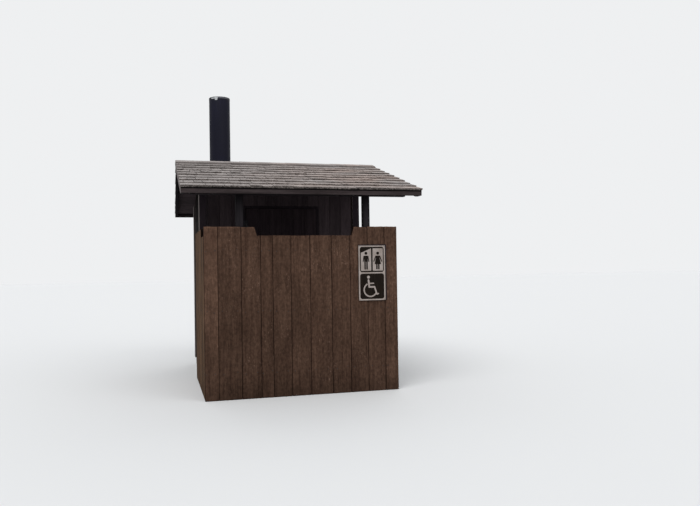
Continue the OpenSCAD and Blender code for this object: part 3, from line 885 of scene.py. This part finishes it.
def shake_slope(side, seed):
    """Courses of split shakes over a starter course. Each shake has its own width and butt."""
    down, up = slope_axes(side)
    rng = random.Random(seed)
    pile = Pile()
    run = RUN[side] / math.cos(SLOPE)
    exposure = run / COURSES
    end_play, least_left, least_width = 0.003, 0.07, 0.02
    for course in range(COURSES, -1, -1):
        starter = course == 0
        butt = run if starter else run - (course - 1) * exposure
        length = min(butt, exposure * SHAKE_LAP)
        half = roof_half(side, butt * math.cos(SLOPE))
        x = -half + rng.uniform(0.0, end_play)
        while x < half - least_width:
            width = rng.uniform(*SHAKE_WIDTHS)
            if x + width > half - least_left:
                width = half - x - rng.uniform(0.0, end_play)
            gap = rng.uniform(*SHAKE_GAPS)
            head = Vector((side * (x + gap / 2), 0, RIDGE_Z)) + down * (butt - length)
            add_shake(pile, placed(head, down, up), width - gap, length, starter, rng)
            x += width
    name = SIDE_NAME[side]
    return pile.piece(name + "_shakes", SHAKE_WOOD, "shakes", "shakes_" + name, sharp=28)


def add_shake(pile, place, width, length, starter, rng):
    """One shake of a given length down the slope; a starter lies flat on the boarding."""
    shy = rng.uniform(0.0, 0.008) + (0.012 if starter else 0.0065)
    low = 0.0 if starter else SHAKE_HEAD - 0.001
    thick = SHAKE_HEAD - 0.002 if starter else rng.triangular(*SHAKE_BUTTS)
    skew = rng.uniform(-0.004, 0.004)

    def ends(a):
        return 0.0, length - shy - abs(skew) + skew * (2 * a / width - 1)

    plank(pile, place, width, thick, ends, rng, SHAKE_CUT,
          taper=lambda s: 0.25 + 0.75 * s, base=lambda s: low * s + 0.0005)


def cap_shake(pile, side, left, step, rng):
    """One shake of the ridge's cap, with its butt at x = left and the next one a step further."""
    down, up = slope_axes(side)
    cap_rise = 0.030
    over = cap_rise * math.tan(SLOPE)
    width = abs(high_corner("ridge_cap").y) / math.cos(SLOPE) + over
    length = min(step * CAP_LAP, ROOF_HALF - left)
    start = left if side == FRONT else left + length
    ridge = Vector((start, 0, RIDGE_Z)) + up * (SHAKE_HEAD + 0.001) - down * over
    shy = rng.uniform(0.0, 0.006)
    width -= rng.uniform(0.0, 0.008)
    thick = rng.uniform(*CAP_BUTTS)

    def ends(a):
        return (shy, length) if side == FRONT else (0.0, length - shy)

    def taper(s):
        return 0.84 + 0.16 * (1 - s if side == FRONT else s)

    plank(pile, placed(ridge, -side * X, up), width, thick, ends, rng, CAP_CUT, taper=taper)


def ridge_shakes():
    """Cap shakes along the ridge, one row on each slope, butts towards the left end."""
    rng = random.Random(41)
    pile = Pile()
    count = round(2 * ROOF_HALF / CAP_EXPOSURE)
    step = 2 * ROOF_HALF / count
    for side in (FRONT, REAR):
        for i in range(count):
            cap_shake(pile, side, -ROOF_HALF + i * step, step, rng)
    pile.piece("ridge_shakes", SHAKE_WOOD, "shakes", "ridge_cap", sharp=28)


def roof():
    roof_deck(FRONT, 31)
    cut_for_stack(roof_deck(REAR, 32))
    shake_slope(FRONT, 33)
    cut_for_stack(shake_slope(REAR, 34))
    ridge_shakes()


# Vent stack

def bent_plate(pile, radius, thick, turn, below, steps=12):
    """A plate bent round the stack, between two angles in degrees and two depths below its top."""
    x, y, _, top = stack_axis()
    low, high = top - below[0], top - below[1]
    rings = []
    for i in range(steps + 1):
        a = math.radians(turn[0] + (turn[1] - turn[0]) * i / steps)
        spoke = Vector((math.cos(a), math.sin(a), 0))
        rings.append([Vector((x, y, 0)) + spoke * r + Z * h for r, h in
                      ((radius, high), (radius + thick, high), (radius + thick, low), (radius, low))])
    pile.loft(rings)


def stack_pipe():
    """The pipe, with its upper rim rounded over."""
    x, y, radius, top = stack_axis()
    rim_radius = 0.003
    rim = arc(radius - rim_radius, top - rim_radius, rim_radius, 0, 180)
    outer = [(radius, top * k / 10) for k in range(10)]
    inner = [(radius - STACK_WALL, top * k / 10) for k in range(9, -1, -1)]
    pipe = Pile()
    lathe(pipe, outer + rim + inner, Vector((x, y, 0)))
    pipe.piece("stack_pipe", PIPE_BLACK, "stack_pipe", "vent_stack")


def clamp_band():
    """The band round the pipe's top, with a bright strap end and screw housing on the front, and a
    lighter plate beside them that is a painted sheen.
    """
    x, y, radius, top = stack_axis()
    inside, outside, edge = radius + 0.0004, radius + 0.0016, 0.0006
    on_band, on_strap = outside + 0.0002, outside + 0.0010
    low, high = top - 0.034, top - 0.004
    band, worn, buckle = Pile(), Pile(), Pile()
    lathe(band, [(inside, low), (outside - edge, low), (outside, low + edge), (outside, high - edge),
                 (outside - edge, high), (inside, high)], Vector((x, y, 0)))
    # A lighter plate on the band's front: painted sheen.
    bent_plate(worn, on_band, 0.0006, turn=(258, 322), below=(0.024, 0.0055))
    bent_plate(buckle, on_band, 0.0008, turn=(216, 256), below=(0.030, 0.010))
    bent_plate(buckle, on_strap, 0.0012, turn=(240, 253.5), below=(0.052, 0.0045), steps=6)
    band.piece("clamp_band", BAND_METAL, "stack_metal")
    worn.piece("clamp_worn", BAND_SHEEN_METAL, "stack_metal")
    buckle.piece("clamp_buckle", BRIGHT_METAL, "stack_metal")


def stack_wires():
    """The wire screen over the stack's mouth."""
    x, y, radius, top = stack_axis()
    wire, pitch = 0.0012, 0.019
    centre = Vector((x, y, top + wire))
    reach = radius - 0.003
    mesh = Pile()
    steps = int(reach / pitch)
    for k in range(-steps, steps + 1):
        half = math.sqrt(reach ** 2 - (k * pitch) ** 2)
        for axis, other, lift in ((X, Y, 0.0), (Y, X, 1.2 * wire)):
            middle = centre + other * (k * pitch) + Z * lift
            rod(mesh, middle - axis * half, middle + axis * half, wire)
    mesh.piece("stack_wires", DARK_METAL, "stack_metal", "stack_screen")


def stack_bolts():
    """Bolt heads on both sides of the straps' feet, and nail heads along the flashing's edges."""
    x = stack_axis()[0]
    low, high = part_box("stack_straps")
    strap_height, half_foot, from_wall = 0.040, 0.045, 0.012
    bolts = Pile()
    for z in (low.z + strap_height / 2, high.z - strap_height / 2):
        for side in (-1, 1):
            spot = Vector((x + side * half_foot, low.y + from_wall, z))
            stud(bolts, spot, X * side, 0.007, 0.005, 6)
    up = slope_axes(REAR)[1]
    low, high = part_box("stack_flashing")
    inset, margin, lift = 0.018, 0.02, SHAKE_BUTT + 0.003
    for across in (low.x + inset, high.x - inset):
        for k in range(5):
            depth = low.y + margin + (high.y - low.y - 2 * margin) * k / 4
            z = RIDGE_Z - depth * math.tan(SLOPE) + lift / math.cos(SLOPE)
            stud(bolts, Vector((across, depth, z)), up, 0.006, 0.0015)
    bolts.piece("stack_bolts", NAIL_METAL, "stack_metal")


# Sign: its parts lie on its face in layers, whose heights are in metres

PANEL_INSET = 0.014
PANEL_GAP = 0.001
PANEL_RADIUS = 0.026
SCREW_INSET = 0.0075
FACE_SUNK = 0.0015
PLATE, INK, FIGURE = 0.0006, 0.0011, 0.0014
LAYER = 0.00005


def round_rect(x, y, w, h, r):
    right, top = x + w - r, y + h - r
    return (arc(right, y + r, r, -90, 0) + arc(right, top, r, 0, 90)
            + arc(x + r, top, r, 90, 180) + arc(x + r, y + r, r, 180, 270))


def limb(x0, y0, x1, y1, width):
    """A straight bar with round ends."""
    angle = math.degrees(math.atan2(y1 - y0, x1 - x0))
    return (arc(x1, y1, width / 2, angle - 90, angle + 90)
            + arc(x0, y0, width / 2, angle + 90, angle + 270))


def ring_part(cx, cy, radius, width, start, end):
    outer = arc(cx, cy, radius + width / 2, start, end, 28)
    return outer + arc(cx, cy, radius - width / 2, end, start, 28)


def slanted(outline, x, top, wide, drop):
    """Lowers an outline's points to a line that rises by drop from x to its top over a width."""
    return [(a, min(b, top - drop * (1 - (a - x) / wide))) for a, b in outline]


def person(pile, face, x, y, tall, skirted):
    """A plain standing figure: a round head, a trunk and two legs, or a skirt over them."""
    head, wide = tall * 0.085, tall * 0.11
    hem, hip, shoulder = y + tall * 0.30, y + tall * 0.44, y + tall * 0.78
    slab(pile, disc(x, y + tall - head, head), face, INK, FIGURE)
    trunk = [(x - wide, hip), (x + wide, hip), (x + wide, shoulder), (x - wide, shoulder)]
    if skirted:
        trunk = [(x - wide * 1.7, hem), (x + wide * 1.7, hem),
                 (x + wide * 0.8, shoulder), (x - wide * 0.8, shoulder)]
    slab(pile, trunk, face, INK, FIGURE)
    reach = wide * (2.1 if skirted else 1.5)
    for side in (-1, 1):
        foot = x + side * wide * 0.52
        leg = limb(foot, y + wide * 0.4, foot, hem if skirted else hip, wide * 0.8)
        slab(pile, leg, face, INK, FIGURE - 2 * LAYER)
        arm = limb(x + side * reach, hip + tall * 0.02, x + side * wide * 1.05,
                   shoulder - wide * 0.28, wide * 0.52)
        slab(pile, arm, face, INK, FIGURE - 4 * LAYER)


def seated(pile, face, x, y, tall):
    """A plain seated figure in a wheeled chair, from the side."""
    def bar(x0, y0, x1, y1, width, sunk):
        ends = (x + x0 * tall, y + y0 * tall, x + x1 * tall, y + y1 * tall)
        slab(pile, limb(*ends, width * tall), face, PLATE, INK - sunk * LAYER)

    slab(pile, disc(x - 0.185 * tall, y + 0.93 * tall, 0.07 * tall), face, PLATE, INK)
    bar(-0.185, 0.79, -0.15, 0.46, 0.085, 0)  # trunk
    bar(-0.17, 0.63, 0.07, 0.63, 0.06, 1)  # arm
    bar(-0.15, 0.46, 0.11, 0.46, 0.08, 2)  # thigh
    bar(0.11, 0.46, 0.23, 0.12, 0.075, 1)  # shin
    bar(0.23, 0.10, 0.31, 0.13, 0.06, 2)  # foot
    wheel = ring_part(x - 0.09 * tall, y + 0.32 * tall, 0.32 * tall, 0.065 * tall, 118, 340)
    slab(pile, wheel, face, PLATE, INK - 4 * LAYER)


def standing_pair(pale, figures, face, middle, y, panel_w, panel_h):
    """Two pale cells on the upper panel, each with a figure. The left one's top slants."""
    cell_w, cell_h = panel_w * 0.425, panel_h * 0.88
    base = y + (panel_h - cell_h) / 2
    for side in (-1, 1):
        centre = middle + side * panel_w * 0.245
        left = centre - cell_w / 2
        cell = round_rect(left, base, cell_w, cell_h, 0.006)
        if side < 0:
            cell = slanted(cell, left, base + cell_h, cell_w, cell_h * 0.2)
        slab(pale, cell, face, PLATE, INK)
        person(figures, face, centre, base + cell_h * 0.05, cell_h * 0.80, side > 0)


def sign():
    low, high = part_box("sign_board")
    w, h = high.x - low.x, high.z - low.z
    face = placed(Vector((low.x, low.y + FACE_SUNK, low.z)), Z, -Y)
    panel_w = w - 2 * PANEL_INSET
    panel_h = (h - 3 * PANEL_INSET) / 2
    lower, upper = PANEL_INSET, 2 * PANEL_INSET + panel_h
    panels, pale, figures, screws = Pile(), Pile(), Pile(), Pile()
    for y in (lower, upper):
        outline = round_rect(PANEL_INSET + PANEL_GAP, y + PANEL_GAP, panel_w - 2 * PANEL_GAP,
                             panel_h - 2 * PANEL_GAP, PANEL_RADIUS)
        slab(panels, outline, face, 0.0, PLATE)
    standing_pair(pale, figures, face, w / 2, upper, panel_w, panel_h)
    seated(pale, face, w / 2, lower + panel_h * 0.10, panel_h * 0.815)
    for a in (SCREW_INSET, w - SCREW_INSET):
        for b in (SCREW_INSET, h - SCREW_INSET):
            stud(screws, Vector((low.x + a, low.y, low.z + b)), -Y, 0.004, 0.0012, 12)
    panels.piece("sign_panels", SIGN_BROWN, "sign_face")
    pale.piece("sign_shapes", SIGN_CREAM, "sign_face")
    figures.piece("sign_figures", SIGN_BROWN, "sign_face")
    screws.piece("sign_screws", NAIL_METAL, "hinge_metal")


# Stage, light and camera

def stage():
    """A wide pale floor, which the camera sees paler than the light that it throws back."""
    far, low = 60.0, -0.001
    mesh = bpy.data.meshes.new("floor")
    mesh.from_pydata([(x * far, y * far, low) for x, y in ((-1, -1), (1, -1), (1, 1), (-1, 1))],
                     [], [[0, 1, 2, 3]])
    g = new_material("floor_pale")
    seen = g.node("LightPath", {}).outputs["Is Camera Ray"]
    tint = g.mix(seen, (0.42, 0.42, 0.42, 1), (0.69, 0.692, 0.69, 1))
    mesh.materials.append(g.finish(tint, 0.9, specular=0.1))
    new_object("floor", mesh)


def world():
    """Soft light from all round, and a plain pale backdrop for the camera and reflections."""
    g = Graph(bpy.data.worlds.new("studio"))
    g.tree.nodes.clear()
    paths = g.node("LightPath", {}).outputs
    seen = g.math("MAXIMUM", paths["Is Camera Ray"], paths["Is Glossy Ray"])
    light = g.node("Background", {"Color": (0.93, 0.96, 1.0, 1), "Strength": 0.62}).outputs[0]
    backdrop = g.node("Background", {"Color": (0.86, 0.87, 0.88, 1), "Strength": 1.0}).outputs[0]
    mixed = g.node("MixShader", {0: seen, 1: light, 2: backdrop}).outputs[0]
    g.node("OutputWorld", {"Surface": mixed})
    bpy.context.scene.world = g.owner


def sun(name, azimuth, elevation, strength, angle):
    """A soft sun. Azimuth 0 shines from -Y, 90 from +X."""
    light = bpy.data.lights.new(name, "SUN")
    light.energy = strength
    light.angle = math.radians(angle)
    a, e = math.radians(azimuth), math.radians(elevation)
    towards = Vector((math.sin(a) * math.cos(e), -math.cos(a) * math.cos(e), math.sin(e)))
    obj = new_object(name, light)
    obj.rotation_mode = "QUATERNION"
    obj.rotation_quaternion = towards.to_track_quat("Z", "Y")


def camera():
    """The photograph's view point, in a 700 by 506 frame, with a focal length in its pixels."""
    eye = (-1.522, -9.042, 1.416)
    yaw, pitch, roll = (math.radians(v) for v in (15.42, 0.88, 0.86))
    focal, frame_width = 695.4, 700
    forward = Vector((math.sin(yaw) * math.cos(pitch), math.cos(yaw) * math.cos(pitch),
                      math.sin(pitch)))
    level = Vector((math.cos(yaw), -math.sin(yaw), 0))
    down = forward.cross(level)
    right = level * math.cos(roll) + down * math.sin(roll)
    lower = down * math.cos(roll) - level * math.sin(roll)
    data = bpy.data.cameras.new("camera")
    data.sensor_width = 36.0
    data.lens = focal / frame_width * data.sensor_width
    rotation = Matrix((right, -lower, -forward)).transposed().to_4x4()
    obj = new_object("camera", data)
    obj.matrix_world = Matrix.Translation(eye) @ rotation
    bpy.context.scene.camera = obj


bpy.context.scene.view_settings.view_transform = "Standard"
camera()
stage()
world()
sun("key", -35, 52, 1.5, 40)
sun("fill", 25, 30, 0.8, 60)
sun("back", 170, 40, 0.6, 60)
dress_nodes()
privacy_screen()
return_screen()
walls()
roof()
stack_pipe()
clamp_band()
stack_wires()
stack_bolts()
sign()
